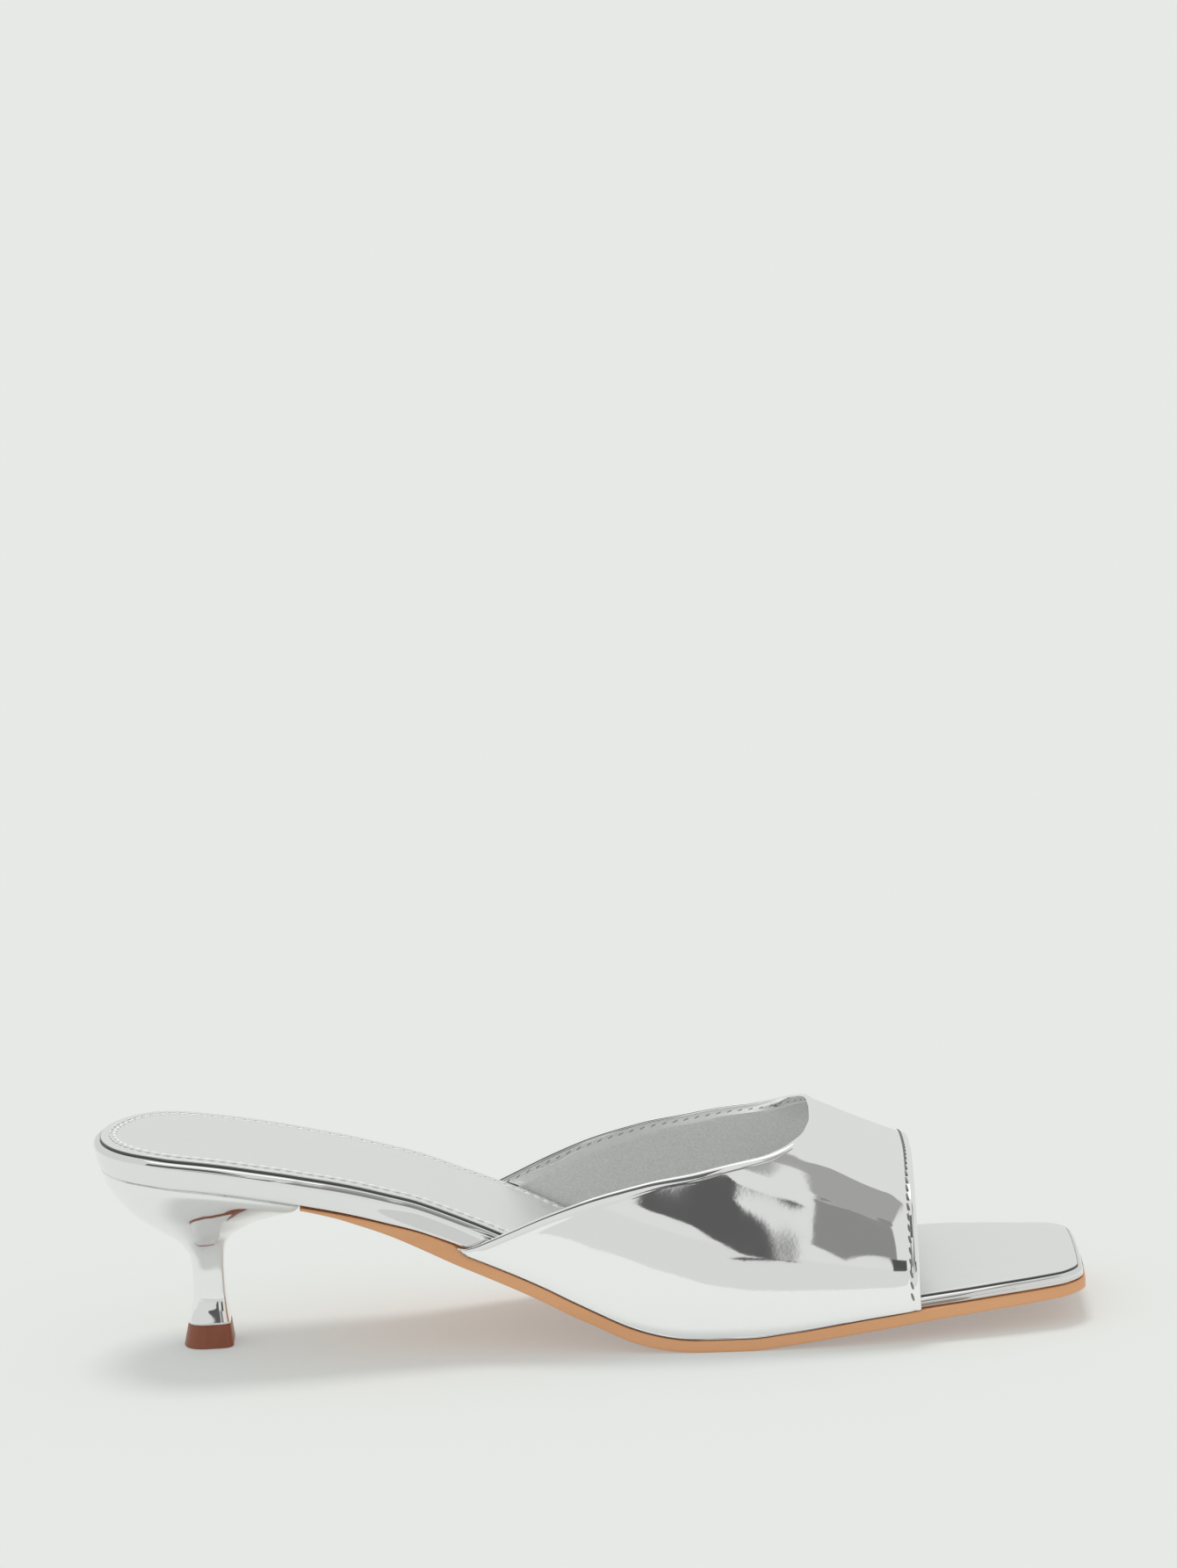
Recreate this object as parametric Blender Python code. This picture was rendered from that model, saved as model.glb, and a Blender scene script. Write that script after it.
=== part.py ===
"""High heel slide sandal: a square-toe kitten-heel mule in mirror leather, one left shoe.

Six pieces: outsole, footbed, insole sock, upper, heel and top piece.
X runs from the heel to the toe, -Y is the inner (big toe) side and Z is up.
The origin is on the floor, under the middle of the shoe's box.
Tables hold shares of the named sizes, and a place is a share of the length from the back.
"""
import math

import bmesh
import bpy
from mathutils import Vector

# Driving sizes in metres
LENGTH = 0.240
BALL_WIDTH = 0.0738
SEAT_HEIGHT = 0.0459
TOE_SPRING = 0.0066
INSTEP_HEIGHT = 0.0520
WALL = 0.0016
OUTSOLE_THICKNESS = 0.0030
HEEL_BOARD = 0.0056
TOE_BOARD = 0.0016
SOCK_THICKNESS = 0.0018
TOE_CORNER = 0.0065
STEM_WIDTH = 0.0086
STEM_DEPTH = 0.0082
TOP_PIECE_HEIGHT = 0.0058

# Clearances and edges in metres
GAP = 0.0003
UPPER_CLEARANCE = 0.00045
UPPER_OUT = UPPER_CLEARANCE + WALL
TOE_MARGIN = 0.0004
SOLE_ROUND = 0.0007
REBATE_DEPTH = 0.0015
SOCK_ROLL = 0.0012
BOARD_LEAN = 0.0008
BOARD_EDGE = 0.0003

# Places along the shoe
HEEL_CENTRE = 0.096
HEEL_BREAST = 0.208
STEM_PLACE = 0.1067
UPPER_START = 0.365
UPPER_FRONT = 0.8305
FRONT_SETBACK = 0.0075
FLAT_START = 0.603
FLAT_END = 0.655

# The section across the upper
SECTION_POWER = 2.8
SECTION_COLUMNS = 60
SECTION_ROWS = 17

# Steps between the sections of the sole
STATION_STEP = 0.0075
HEEL_ANGLES = (5, 15, 26, 38, 50, 63, 76, 90)
TOE_ANGLES = (0, 24, 45, 66, 90)
SOCK_ROLL_ANGLES = (0, 30, 60, 90)
HEEL_LEVELS = 16

# Half widths of the footbed, as shares of half the ball width
OUTLINE = [
    # place, inner side, outer side
    (0.096, 0.743, 0.743),
    (0.167, 0.751, 0.748),
    (0.233, 0.732, 0.737),
    (0.296, 0.713, 0.732),
    (0.367, 0.713, 0.748),
    (0.4375, 0.753, 0.813),
    (0.500, 0.821, 0.894),
    (0.5625, 0.894, 0.957),
    (0.625, 0.952, 0.992),
    (0.6875, 0.984, 1.000),
    (0.750, 1.000, 0.995),
    (0.800, 0.992, 0.980),
    (0.833, 0.978, 0.955),
    (0.875, 0.953, 0.885),
    (0.9125, 0.912, 0.775),
    (0.950, 0.855, 0.665),
    (1.000, 0.760, 0.530),
]

# Underside of the outsole in shares of the seat height and toe spring, and the sole's thickness
SOLE_LINE = [
    # place, seat share, spring share, thickness share
    (0.000, 1.000, 0.0, 0.30),
    (0.050, 0.989, 0.0, 0.30),
    (0.079, 0.971, 0.0, 0.30),
    (0.121, 0.937, 0.0, 0.30),
    (0.165, 0.893, 0.0, 0.30),
    (0.208, 0.843, 0.0, 0.30),
    (0.243, 0.789, 0.0, 0.45),
    (0.260, 0.754, 0.0, 0.62),
    (0.295, 0.678, 0.0, 0.93),
    (0.330, 0.588, 0.0, 1.40),
    (0.364, 0.499, 0.0, 1.58),
    (0.399, 0.414, 0.0, 1.62),
    (0.425, 0.351, 0.0, 1.62),
    (0.451, 0.283, 0.0, 1.62),
    (0.477, 0.211, 0.0, 1.60),
    (0.503, 0.146, 0.0, 1.53),
    (0.520, 0.102, 0.0, 1.52),
    (0.5375, 0.061, 0.0, 1.53),
    (0.555, 0.033, 0.0, 1.49),
    (0.5725, 0.014, 0.0, 1.44),
    (0.590, 0.003, 0.0, 1.40),
    (FLAT_START, 0.000, 0.0, 1.38),
    (FLAT_END, 0.000, 0.0, 1.32),
    (0.696, 0.000, 0.14, 1.23),
    (0.732, 0.000, 0.30, 1.15),
    (0.767, 0.000, 0.46, 1.08),
    (0.804, 0.000, 0.61, 1.02),
    (0.840, 0.000, 0.735, 1.00),
    (0.875, 0.000, 0.83, 1.00),
    (0.9125, 0.000, 0.92, 1.00),
    (0.950, 0.000, 1.00, 0.97),
    (1.000, 0.000, 1.12, 0.92),
]

# How far the outsole stands out past the footbed, in shares of how far the upper does and of
# the toe's margin, and how deep the upper is let into it
SOLE_EDGE = [
    # place, upper share, toe share, rebate share
    (0.208, -0.30, 0.0, 1.00),
    (0.310, -0.25, 0.0, 1.00),
    (0.365, 0.45, 0.0, 1.00),
    (0.430, 0.87, 0.0, 0.95),
    (0.500, 1.02, 0.0, 0.85),
    (0.600, 1.02, 0.0, 0.80),
    (0.700, 1.02, 0.0, 0.50),
    (0.790, 1.00, 0.0, 0.10),
    (0.829, 0.75, 0.2, 0.05),
    (0.880, 0.10, 1.0, 0.05),
    (0.950, 0.00, 1.0, 0.05),
    (1.000, 0.00, 1.0, 0.05),
]

# The board thins from the heel's thickness to the toe's, and the sock on it thins a little
BOARD = [
    # place, share of the way to the toe board, sock share
    (0.000, 0.00, 1.00),
    (0.330, 0.00, 1.00),
    (0.400, 0.02, 1.00),
    (0.500, 0.25, 0.95),
    (0.600, 0.75, 0.80),
    (0.680, 1.00, 0.70),
    (1.000, 1.00, 0.70),
]

# Height of the last's ridge over the floor, as a share of the instep height
RIDGE = [
    # place, height share
    (0.365, 1.520),
    (0.4375, 1.480),
    (0.500, 1.420),
    (0.5625, 1.327),
    (0.6375, 1.190),
    (0.6875, 1.085),
    (0.733, 1.000),
    (0.783, 0.888),
    (0.829, 0.792),
]

# The topline, from the outsole's edge up to the throat
TOPLINE = [
    # rise around the section, place
    (0.000, 0.365),
    (0.110, 0.4154),
    (0.222, 0.471),
    (0.299, 0.517),
    (0.363, 0.564),
    (0.418, 0.614),
    (0.480, 0.658),
    (0.530, 0.686),
    (0.600, 0.709),
    (0.686, 0.724),
    (0.820, 0.7315),
    (1.000, 0.733),
]

# The heel from its top to its foot: shares of the cup's reach and width, and of the stem
HEEL_FORM = [
    # level, rear, front, width, stem, rear height, front height, roundness
    (0.00, 1.000, 1.000, 1.000, 0.00, 1.000, 1.000, 0.00),
    (0.06, 0.985, 0.965, 0.985, 0.00, 0.961, 0.976, 0.02),
    (0.12, 0.968, 0.918, 0.960, 0.00, 0.925, 0.955, 0.05),
    (0.24, 0.850, 0.754, 0.843, 0.00, 0.808, 0.905, 0.30),
    (0.36, 0.669, 0.570, 0.655, 0.00, 0.686, 0.833, 0.60),
    (0.48, 0.398, 0.335, 0.400, 0.30, 0.587, 0.743, 0.85),
    (0.60, 0.114, 0.107, 0.143, 0.80, 0.489, 0.654, 1.00),
    (0.70, 0.004, 0.012, 0.026, 1.00, 0.391, 0.543, 1.00),
    (0.78, 0.000, 0.000, 0.000, 0.97, 0.312, 0.380, 1.00),
    (0.86, 0.000, 0.000, 0.000, 0.98, 0.205, 0.225, 1.00),
    (0.94, 0.000, 0.000, 0.000, 1.08, 0.100, 0.105, 1.00),
    (1.00, 0.000, 0.000, 0.000, 1.28, 0.000, 0.000, 1.00),
]
STEM_RAKE = 0.0018
TOP_PIECE_FLARE = 0.24
TOP_PIECE_EDGE = 0.0005
STEM_REAR_POWER = 2.3
STEM_FRONT_POWER = 5.0
STEM_ANGLES = (5, 22, 40, 58, 76, 94, 108, 120, 131, 142, 153)


def smooth(table, place, column):
    """Read one column of a table at a place, along a curve that never overshoots."""
    places = [row[0] for row in table]
    values = [row[column] for row in table]
    if place <= places[0]:
        return values[0]
    if place >= places[-1]:
        return values[-1]
    last = len(table) - 1
    slopes = [(values[k + 1] - values[k]) / (places[k + 1] - places[k]) for k in range(last)]
    tangents = [slopes[0]]
    for before, after in zip(slopes, slopes[1:]):
        level = before * after <= 0
        tangents.append(0.0 if level else 2 * before * after / (before + after))
    tangents.append(slopes[-1])
    k = max(row for row in range(last) if places[row] <= place)
    span = places[k + 1] - places[k]
    t = (place - places[k]) / span
    height = (2 * t ** 3 - 3 * t ** 2 + 1) * values[k] + (3 * t ** 2 - 2 * t ** 3) * values[k + 1]
    lean = (t ** 3 - 2 * t ** 2 + t) * tangents[k] + (t ** 3 - t ** 2) * tangents[k + 1]
    return height + lean * span


def to_x(place):
    return (place - 0.5) * LENGTH


def to_place(x):
    return x / LENGTH + 0.5


def plan_half(x, side, grow=0.0):
    """Half width of the footbed's plan, inner side 1 or outer side 2, grown all round."""
    half = smooth(OUTLINE, to_place(x), side) * BALL_WIDTH / 2 + grow
    reach = HEEL_CENTRE * LENGTH + grow
    back = to_x(HEEL_CENTRE) - x
    if back > 0:
        half *= math.sqrt(max(0.0, 1 - (back / reach) ** 2))
    corner = TOE_CORNER + grow
    past = x - (LENGTH / 2 - TOE_MARGIN + grow - corner)
    if past > 0:
        half -= corner - math.sqrt(max(0.0, corner ** 2 - past ** 2))
    return half


def stations(start, end, grow=0.0):
    """X of each section between two places, closer together on the heel's and toe's rounds."""
    reach = HEEL_CENTRE * LENGTH + grow
    corner = TOE_CORNER + grow
    corner_start = LENGTH / 2 - TOE_MARGIN + grow - corner
    first = to_x(start)
    last = to_x(end)
    found = []
    if start == 0.0:
        found += [to_x(HEEL_CENTRE) - reach * math.cos(math.radians(a)) for a in HEEL_ANGLES]
        first = found.pop()
    if end == 1.0:
        last = corner_start
    count = max(1, round((last - first) / STATION_STEP))
    found += [first + (last - first) * k / count for k in range(count + 1)]
    if end == 1.0:
        found += [corner_start + corner * math.sin(math.radians(a)) for a in TOE_ANGLES[1:]]
    return found


def sole_height(x):
    place = to_place(x)
    seat = SEAT_HEIGHT * smooth(SOLE_LINE, place, 1)
    return seat + TOE_SPRING * smooth(SOLE_LINE, place, 2)


def seat_height(x):
    """Top of the outsole and of the heel, on which the footbed lies."""
    return sole_height(x) + OUTSOLE_THICKNESS * smooth(SOLE_LINE, to_place(x), 3)


def ledge_height(x):
    """The outsole's edge under the upper's wall."""
    return seat_height(x) - REBATE_DEPTH * smooth(SOLE_EDGE, to_place(x), 3)


def sole_grow(x):
    place = to_place(x)
    return UPPER_OUT * smooth(SOLE_EDGE, place, 1) + TOE_MARGIN * smooth(SOLE_EDGE, place, 2)


def board_top(x):
    thinning = smooth(BOARD, to_place(x), 1)
    return seat_height(x) + GAP + HEEL_BOARD + (TOE_BOARD - HEEL_BOARD) * thinning


def sock_top(x):
    return board_top(x) + GAP + SOCK_THICKNESS * smooth(BOARD, to_place(x), 2)


def material(name, colour, roughness, metallic):
    made = bpy.data.materials.new(name)
    made.use_nodes = True
    shader = made.node_tree.nodes["Principled BSDF"]
    shader.inputs["Base Color"].default_value = (*colour, 1.0)
    shader.inputs["Roughness"].default_value = roughness
    shader.inputs["Metallic"].default_value = metallic
    return made


def add_piece(name, mesh, finish, sharp_degrees=40):
    """Link one sub-part with its faces pointing out, shaded smooth."""
    work = bmesh.new()
    work.from_mesh(mesh)
    bmesh.ops.recalc_face_normals(work, faces=work.faces)
    work.to_mesh(mesh)
    work.free()
    mesh.shade_smooth()
    mesh.set_sharp_from_angle(angle=math.radians(sharp_degrees))
    piece = bpy.data.objects.new(name, mesh)
    piece.data.materials.append(finish)
    bpy.context.scene.collection.objects.link(piece)
    return piece


def loft(name, rings, finish, sharp_degrees=40):
    """Close a solid over rings of points, with the two end rings capped from side to side."""
    size = len(rings[0])
    points = [point for ring in rings for point in ring]
    faces = []
    for r in range(len(rings) - 1):
        for k in range(size):
            following = (k + 1) % size
            low = r * size
            faces.append((low + k, low + following, low + size + following, low + size + k))
    for base in (0, (len(rings) - 1) * size):
        for k in range(size // 2 - 1):
            faces.append((base + k, base + k + 1, base + size - 2 - k, base + size - 1 - k))
    mesh = bpy.data.meshes.new(name)
    mesh.from_pydata(points, [], faces)
    return add_piece(name, mesh, finish, sharp_degrees)


def across_ring(x, edge):
    """A section across the shoe, from (growth, inset, height) rows that run round its edge."""
    inner = [(x, inset - plan_half(x, 1, grow), z) for grow, inset, z in edge]
    outer = [(x, plan_half(x, 2, grow) - inset, z) for grow, inset, z in edge]
    return inner + outer[::-1]


def footbed_ring(x, edge):
    """A section of the footbed whose insets shrink with its width, so its ends stay round."""
    inner_share = plan_half(x, 1) / (smooth(OUTLINE, to_place(x), 1) * BALL_WIDTH / 2)
    outer_share = plan_half(x, 2) / (smooth(OUTLINE, to_place(x), 2) * BALL_WIDTH / 2)
    inner = [(x, inset * inner_share - plan_half(x, 1), z) for inset, z in edge]
    outer = [(x, plan_half(x, 2) - inset * outer_share, z) for inset, z in edge]
    return inner + outer[::-1]


def make_outsole(finish):
    """The outsole, from the heel's breast to the toe, let in along the upper's edge."""
    start = to_x(HEEL_BREAST) + GAP
    rebate = (to_x(UPPER_START) - GAP, to_x(UPPER_FRONT) + GAP)
    fixed = [rebate[0] - GAP, *rebate, rebate[1] + GAP, to_x(FLAT_START), to_x(FLAT_END)]
    apart = STATION_STEP / 4
    free = stations(to_place(start), 1.0, TOE_MARGIN)
    places = [x for x in free if all(abs(x - kept) > apart for kept in fixed)]
    rings = []
    for x in sorted(places + fixed):
        grow = sole_grow(x)
        bottom = sole_height(x)
        seat = seat_height(x)
        ledge = ledge_height(x) if rebate[0] <= x <= rebate[1] else seat
        edge = [
            (grow, SOLE_ROUND, bottom),
            (grow, SOLE_ROUND * 0.25, bottom + SOLE_ROUND * 0.3),
            (grow, 0.0, bottom + SOLE_ROUND * 0.8),
            (grow, 0.0, ledge - SOLE_ROUND * 0.3),
            (grow, SOLE_ROUND * 0.3, ledge),
            (-GAP, 0.0, ledge),
            (-GAP * 2, 0.0, seat),
        ]
        rings.append(across_ring(x, edge))
    return loft("outsole", rings, finish)


def make_footbed(finish):
    """The covered board, thick under the heel and thin under the toes."""
    rings = []
    for x in stations(0.0, 1.0):
        bottom = seat_height(x) + GAP
        top = board_top(x)
        edge = [
            (BOARD_LEAN + BOARD_EDGE, bottom),
            (BOARD_LEAN, bottom + BOARD_EDGE),
            (0.0, top - BOARD_EDGE * 2),
            (BOARD_EDGE, top),
        ]
        rings.append(footbed_ring(x, edge))
    return loft("footbed", rings, finish)


def make_sock(finish):
    """The sock over the board, with a rolled edge."""
    rings = []
    for x in stations(0.0, 1.0):
        bottom = board_top(x) + GAP
        top = sock_top(x)
        roll = min(SOCK_ROLL, (top - bottom) * 0.8)
        edge = [(BOARD_EDGE, bottom), (0.0, bottom + BOARD_EDGE * 0.5)]
        for angle in SOCK_ROLL_ANGLES:
            turn = math.radians(angle)
            edge.append((SOCK_ROLL * (1 - math.cos(turn)), top - roll * (1 - math.sin(turn))))
        rings.append(footbed_ring(x, edge))
    return loft("insole_sock", rings, finish)


def upper_point(x, rise):
    """A point of the upper's outside: rise runs 0 to 2, from inner feather edge to outer."""
    turn = rise * math.pi / 2
    across = abs(math.cos(turn))
    up = abs(math.sin(turn))
    reach = (across ** SECTION_POWER + up ** SECTION_POWER) ** (-1 / SECTION_POWER)
    side = 1 if rise < 1 else 2
    sign = -1 if rise < 1 else 1
    half = plan_half(x, side) + UPPER_OUT
    foot = ledge_height(x) + GAP
    ridge = INSTEP_HEIGHT * smooth(RIDGE, to_place(x), 1)
    return Vector((x, sign * half * across * reach, foot + (ridge - foot) * up * reach))


def upper_normal(x, rise):
    """Outward direction of the upper at a point, from small steps along and around it."""
    step_x = LENGTH * 0.0005
    step_rise = 0.002
    low = max(rise - step_rise, 0.0)
    high = min(rise + step_rise, 2.0)
    along = upper_point(x + step_x, rise) - upper_point(x - step_x, rise)
    around = upper_point(x, high) - upper_point(x, low)
    return around.cross(along).normalized() * -1


def topline_x(rise):
    return to_x(smooth(TOPLINE, min(rise, 2 - rise), 1))


def front_x(rise):
    return to_x(UPPER_FRONT - FRONT_SETBACK * math.sin(rise * math.pi / 2) ** 3)


def make_upper(finish):
    """One wall from feather edge to feather edge, open behind, at the toe and underneath."""
    columns = SECTION_COLUMNS + 1
    rows = SECTION_ROWS + 1
    outside = []
    inside = []
    for c in range(columns):
        rise = 2 * c / SECTION_COLUMNS
        for r in range(rows):
            share = r / SECTION_ROWS
            x = topline_x(rise) + (front_x(rise) - topline_x(rise)) * share
            point = upper_point(x, rise)
            inward = upper_normal(x, rise) * WALL
            if c in (0, SECTION_COLUMNS):
                inward.z = 0.0
            outside.append(point)
            inside.append(point - inward)
    count = len(outside)
    faces = []
    for c in range(SECTION_COLUMNS):
        for r in range(SECTION_ROWS):
            a = c * rows + r
            quad = (a, a + 1, a + rows + 1, a + rows)
            faces.append(quad)
            faces.append(tuple(count + k for k in quad[::-1]))
    topline = [c * rows for c in range(columns)]
    front = [c * rows + SECTION_ROWS for c in range(columns)]
    inner_feather = list(range(rows))
    outer_feather = [SECTION_COLUMNS * rows + r for r in range(rows)]
    for edge in (topline, front, inner_feather, outer_feather):
        for a, b in zip(edge, edge[1:]):
            faces.append((a, b, count + b, count + a))
    mesh = bpy.data.meshes.new("upper")
    mesh.from_pydata(outside + inside, [], faces)
    return add_piece("upper", mesh, finish)


def stem_outline():
    """The stem's section from its rear to its flat front: forward and sideways shares."""
    outline = []
    for angle in STEM_ANGLES:
        turn = math.radians(angle)
        power = STEM_REAR_POWER if angle < 90 else STEM_FRONT_POWER
        forward = -math.copysign(abs(math.cos(turn)) ** (2 / power), math.cos(turn))
        outline.append((forward, math.sin(turn) ** (2 / power)))
    reach = outline[-1][0]
    return [(f / reach if f > 0 else f, s) for f, s in outline]


def cup_top_outline():
    """The heel's top in plan: X, inner half width and outer half width, rear to breast."""
    grow = -BOARD_LEAN
    reach = HEEL_CENTRE * LENGTH + grow
    rounds = [to_x(HEEL_CENTRE) - reach * math.cos(math.radians(a)) for a in HEEL_ANGLES]
    straight = len(STEM_ANGLES) - len(rounds)
    gap = (to_x(HEEL_BREAST) - rounds[-1]) / straight
    places = rounds + [rounds[-1] + gap * (k + 1) for k in range(straight)]
    return [(x, plan_half(x, 1, grow), plan_half(x, 2, grow)) for x in places]


def make_heel(finish):
    """A cup under the seat that sweeps in to a slim stem with a flat front."""
    centre = to_x(STEM_PLACE)
    top = cup_top_outline()
    stem = stem_outline()
    rear_reach = centre - top[0][0]
    front_reach = top[-1][0] - centre
    inner_half = max(row[1] for row in top)
    outer_half = max(row[2] for row in top)
    foot = TOP_PIECE_HEIGHT + GAP
    rear_drop = seat_height(top[0][0]) - foot
    front_drop = seat_height(top[-1][0]) - foot
    rings = []
    for n in range(HEEL_LEVELS + 1):
        form = [smooth(HEEL_FORM, n / HEEL_LEVELS, column) for column in range(1, 8)]
        rear, front, width, stem_share, rear_z, front_z, roundness = form
        ring_centre = centre - STEM_RAKE * max(0.0, stem_share - 1)
        inner_side = []
        outer_side = []
        for (x, inner, outer), (forward, sideways) in zip(top, stem):
            away = (x - centre) / (rear_reach if x < centre else front_reach)
            along = away * (1 - roundness) + forward * roundness
            cup = rear_reach * rear if along < 0 else front_reach * front
            place = ring_centre + along * (cup + STEM_DEPTH / 2 * stem_share)
            ahead = (along + 1) / 2
            straight = foot + rear_drop + (front_drop - rear_drop) * (away + 1) / 2
            z = foot + rear_drop * rear_z + (front_drop * front_z - rear_drop * rear_z) * ahead
            z += (seat_height(x) - straight) * (1 - roundness)
            for made, half, full, sign in (
                (inner_side, inner, inner_half, -1), (outer_side, outer, outer_half, 1)
            ):
                share = half / full * (1 - roundness) + sideways * roundness
                made.append((place, sign * share * (full * width + STEM_WIDTH / 2 * stem_share), z))
        rings.append(inner_side + outer_side[::-1])
    return loft("heel", rings, finish)


def make_top_piece(finish):
    """The rubber tip under the stem, a little wider at the floor."""
    foot_share = HEEL_FORM[-1][4]
    rings = []
    for z, inset in ((TOP_PIECE_HEIGHT, 0.0), (TOP_PIECE_EDGE, 0.0), (0.0, TOP_PIECE_EDGE)):
        share = foot_share + TOP_PIECE_FLARE * (1 - z / TOP_PIECE_HEIGHT)
        centre = to_x(STEM_PLACE) - STEM_RAKE * (share - 1)
        depth = STEM_DEPTH / 2 * share - inset
        width = STEM_WIDTH / 2 * share - inset
        side = [(centre + forward * depth, -sideways * width, z) for forward, sideways in stem_outline()]
        rings.append(side + [(x, -y, z) for x, y, z in side][::-1])
    return loft("top_piece", rings, finish)


for stale in list(bpy.context.scene.objects):
    bpy.data.objects.remove(stale, do_unlink=True)

mirror_leather = material("mirror_leather", (0.80, 0.81, 0.80), 0.12, 1.0)
make_outsole(material("tan_leather", (0.53, 0.29, 0.15), 0.55, 0.0))
make_footbed(mirror_leather.copy())
make_sock(material("sock_leather", (0.68, 0.69, 0.68), 0.32, 0.6))
make_upper(mirror_leather)
make_heel(material("plated_heel", (0.78, 0.79, 0.78), 0.08, 1.0))
make_top_piece(material("brown_rubber", (0.20, 0.07, 0.04), 0.45, 0.0))
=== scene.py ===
"""Looks of the high heel slide sandal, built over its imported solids.

Everything is in metres, in the shoe's own frame: X runs from the heel to the toe, -Y is the
inner side, towards the camera, and Z is up. The tables are shares of the named sizes, and a
place is a share of the length from the back. The surfaces follow the sizes of the solids, but
where a comment says so they follow the photo more closely.
"""
import math

import bpy
import numpy as np
from mathutils import Euler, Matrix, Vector


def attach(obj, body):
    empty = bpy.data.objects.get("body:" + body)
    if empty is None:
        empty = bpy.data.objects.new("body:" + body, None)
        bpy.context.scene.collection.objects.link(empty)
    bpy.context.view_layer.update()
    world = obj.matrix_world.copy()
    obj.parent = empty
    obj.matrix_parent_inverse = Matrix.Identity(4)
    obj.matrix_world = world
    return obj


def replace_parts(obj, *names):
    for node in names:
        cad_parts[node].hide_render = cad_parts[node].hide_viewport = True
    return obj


# Sizes shared with the solids, in metres, and places along the shoe
LENGTH = 0.240
BALL_WIDTH = 0.0738
SEAT_HEIGHT = 0.0459
TOE_SPRING = 0.0066
INSTEP_HEIGHT = 0.0520
WALL = 0.0016
OUTSOLE_THICKNESS = 0.0030
HEEL_BOARD = 0.0056
TOE_BOARD = 0.0016
SOCK_THICKNESS = 0.0018
TOE_CORNER = 0.0065
STEM_WIDTH = 0.0086
STEM_DEPTH = 0.0082
TOP_PIECE_HEIGHT = 0.0058
GAP = 0.0003
UPPER_CLEARANCE = 0.00045
UPPER_OUT = UPPER_CLEARANCE + WALL
TOE_MARGIN = 0.0004
REBATE_DEPTH = 0.0015
BOARD_LEAN = 0.0008
HEEL_CENTRE = 0.096
HEEL_BREAST = 0.208
STEM_PLACE = 0.1067
UPPER_START = 0.365
UPPER_FRONT = 0.8305
SECTION_POWER = 2.8

# Closer to the photo than the solids: the toe's end is bowed, the front edge reaches further
# over the ridge, and the board's side stands out a little round the heel
TOE_BOW = 0.0009
TOE_BOW_REACH = 0.02
FRONT_ADVANCE = 0.0048
BOARD_BULGE = 0.0007

# Half widths of the footbed, as shares of half the ball width
OUTLINE = [
    # place, inner side, outer side
    (0.096, 0.743, 0.743),
    (0.167, 0.751, 0.748),
    (0.233, 0.732, 0.737),
    (0.296, 0.713, 0.732),
    (0.367, 0.713, 0.748),
    (0.4375, 0.753, 0.813),
    (0.500, 0.821, 0.894),
    (0.5625, 0.894, 0.957),
    (0.625, 0.952, 0.992),
    (0.6875, 0.984, 1.000),
    (0.750, 1.000, 0.995),
    (0.800, 0.992, 0.980),
    (0.833, 0.978, 0.955),
    (0.875, 0.953, 0.885),
    (0.9125, 0.912, 0.775),
    (0.950, 0.855, 0.665),
    (1.000, 0.760, 0.530),
]

# Underside of the outsole in shares of the seat height and toe spring, and the sole's thickness
SOLE_LINE = [
    # place, seat share, spring share, thickness share
    (0.000, 1.000, 0.0, 0.30),
    (0.050, 0.989, 0.0, 0.30),
    (0.079, 0.971, 0.0, 0.30),
    (0.121, 0.937, 0.0, 0.30),
    (0.165, 0.893, 0.0, 0.30),
    (0.208, 0.843, 0.0, 0.30),
    (0.243, 0.789, 0.0, 0.45),
    (0.260, 0.754, 0.0, 0.62),
    (0.295, 0.678, 0.0, 0.93),
    (0.330, 0.588, 0.0, 1.40),
    (0.364, 0.499, 0.0, 1.58),
    (0.399, 0.414, 0.0, 1.62),
    (0.425, 0.351, 0.0, 1.62),
    (0.451, 0.283, 0.0, 1.62),
    (0.477, 0.211, 0.0, 1.60),
    (0.503, 0.146, 0.0, 1.53),
    (0.520, 0.102, 0.0, 1.52),
    (0.5375, 0.061, 0.0, 1.53),
    (0.555, 0.033, 0.0, 1.49),
    (0.5725, 0.014, 0.0, 1.44),
    (0.590, 0.003, 0.0, 1.40),
    (0.603, 0.000, 0.0, 1.38),
    (0.655, 0.000, 0.0, 1.32),
    (0.696, 0.000, 0.14, 1.23),
    (0.732, 0.000, 0.30, 1.15),
    (0.767, 0.000, 0.46, 1.08),
    (0.804, 0.000, 0.61, 1.02),
    (0.840, 0.000, 0.735, 1.00),
    (0.875, 0.000, 0.83, 1.00),
    (0.9125, 0.000, 0.92, 1.00),
    (0.950, 0.000, 1.00, 0.97),
    (1.000, 0.000, 1.12, 0.92),
]

# How far the outsole stands out past the footbed, and how deep the upper is let into it. The
# let-in edge reaches its full depth a little later than in the solids, as in the photo
SOLE_EDGE = [
    # place, upper share, toe share, rebate share
    (0.208, -0.30, 0.0, 0.00),
    (0.310, -0.25, 0.0, 0.00),
    (0.362, 0.40, 0.0, 0.00),
    (0.366, 0.46, 0.0, 0.35),
    (0.376, 0.55, 0.0, 1.00),
    (0.430, 0.87, 0.0, 0.95),
    (0.500, 1.02, 0.0, 0.85),
    (0.600, 1.02, 0.0, 0.80),
    (0.700, 1.02, 0.0, 0.50),
    (0.790, 1.00, 0.0, 0.10),
    (0.829, 0.75, 0.2, 0.05),
    (0.880, 0.10, 1.0, 0.05),
    (0.950, 0.00, 1.0, 0.05),
    (1.000, 0.00, 1.0, 0.05),
]

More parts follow.
